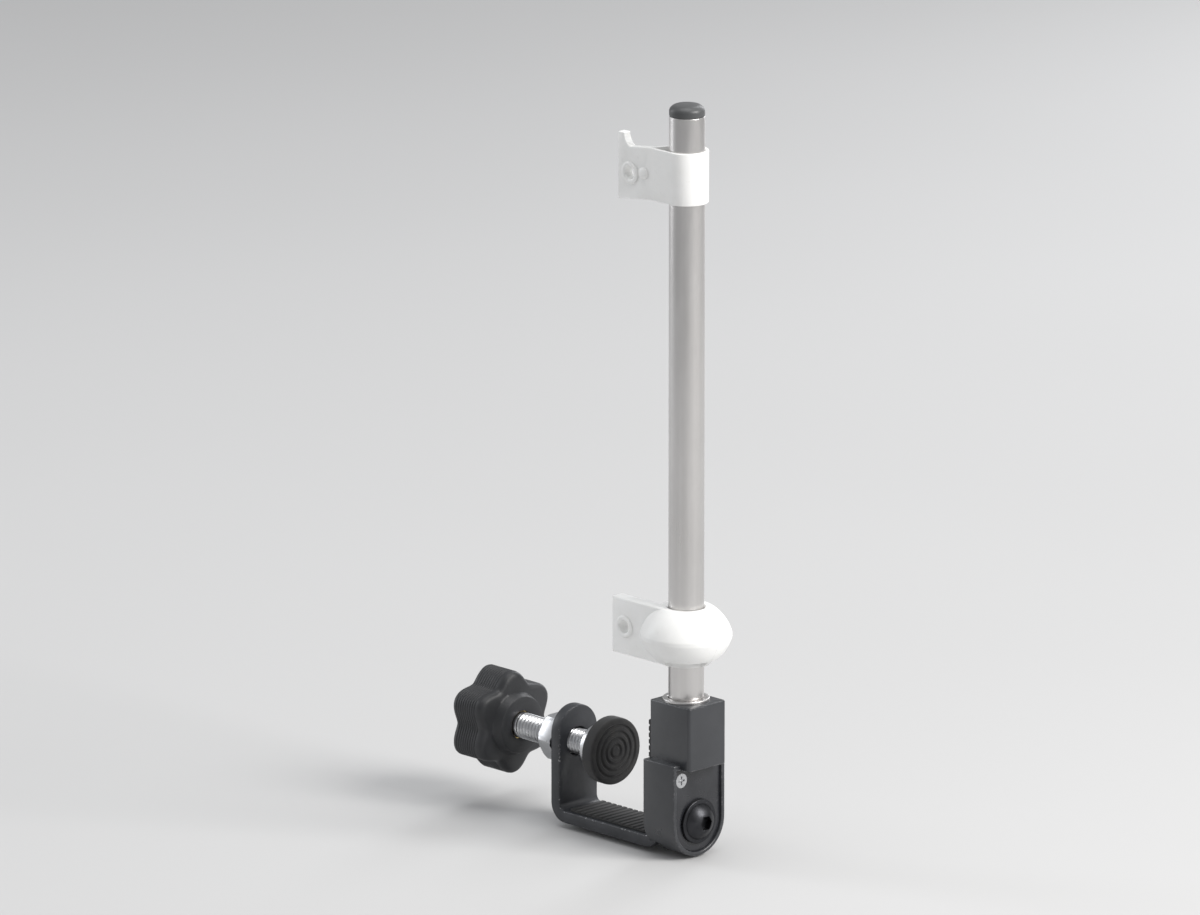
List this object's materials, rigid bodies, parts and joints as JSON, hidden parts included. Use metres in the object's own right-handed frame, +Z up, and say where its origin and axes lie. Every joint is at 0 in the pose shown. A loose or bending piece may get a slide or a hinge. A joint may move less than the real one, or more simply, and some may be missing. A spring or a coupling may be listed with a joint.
{
  "type": "table tennis net clamp",
  "caption": "Table tennis net clamp: a dark socket block with a screw jaw under the side rail, a slim metal net post and two white net clips.",
  "frame": {"origin": "centre of the outer jaw's rubber face, on the clamp screw's axis, where the part bears on the outer face of the table's side rail", "axes": "+Z up along the net post, +Y from the outer jaw into the table along the net and along the clamp screw towards its knob, +X along the table's side rail"},
  "size_m": [0.0216, 0.0762, 0.1722],
  "materials": {
    "block_plastic": "moulded, semi-gloss dark grey",
    "cover_plastic": "moulded, fine grain, black",
    "cap_plastic": "moulded, satin grey",
    "knob_plastic": "moulded, fine grain, black",
    "white_plastic": "moulded, soft gloss white",
    "tube_metal": "satin, drawn along its length",
    "bracket_paint": "black powder coat",
    "black_steel": "black oxide",
    "zinc_steel": "bright zinc plate",
    "rubber": "matt black",
    "brass": "turned"
  },
  "bodies": {
    "clamp_body": {"body_shell": "block_plastic", "front_cover": "cover_plastic", "cover_screw": "zinc_steel", "socket_ferrule": "tube_metal", "jaw_bracket": "bracket_paint", "bracket_bolt": "black_steel", "bracket_washer": "black_steel", "outer_jaw_pad": "rubber", "saddle_pad": "rubber", "weld_nut": "zinc_steel"},
    "net_post": {"post_tube": "tube_metal", "post_top_cap": "cap_plastic", "post_foot_plug": "cover_plastic", "foot_o_ring": "rubber"},
    "screw_foot": {"swivel_pad": "zinc_steel", "swivel_pad_rubber": "rubber", "pad_retaining_clip": "black_steel"},
    "screw_spindle": {"clamp_screw": "zinc_steel", "knob_insert": "brass", "screw_knob": "knob_plastic", "knob_cap": "cover_plastic", "knob_set_screw": "black_steel"},
    "upper_clip": {"upper_net_strap": "white_plastic", "upper_rivet": "white_plastic", "upper_eyelet": "white_plastic"},
    "lower_clip": {"lower_net_collar": "white_plastic", "lower_eyelet": "white_plastic", "collar_set_screw": "zinc_steel"}
  },
  "joints": [
    {"name": "post_lift", "type": "slide", "parent": "clamp_body", "child": "net_post", "axis": [0, 0, 1], "range_m": [0, 0.03]},
    {"name": "screw_advance", "type": "slide", "parent": "clamp_body", "child": "screw_foot", "axis": [0, 1, 0], "range_m": [-0.01, 0.005]},
    {"name": "screw_turn", "type": "hinge", "parent": "screw_foot", "child": "screw_spindle", "pos_m": [0, 0.03, 0], "axis": [0, 1, 0], "range_deg": [-3600, 1800]},
    {"name": "upper_strap_slide", "type": "slide", "parent": "net_post", "child": "upper_clip", "axis": [0, 0, 1], "range_m": [-0.03, 0.007]},
    {"name": "lower_collar_slide", "type": "slide", "parent": "net_post", "child": "lower_clip", "axis": [0, 0, 1], "range_m": [-0.0075, 0.03]}
  ],
  "couplings": [
    {"joint": "screw_turn", "follows": "screw_advance", "rad_per_m": 6283.2}
  ]
}
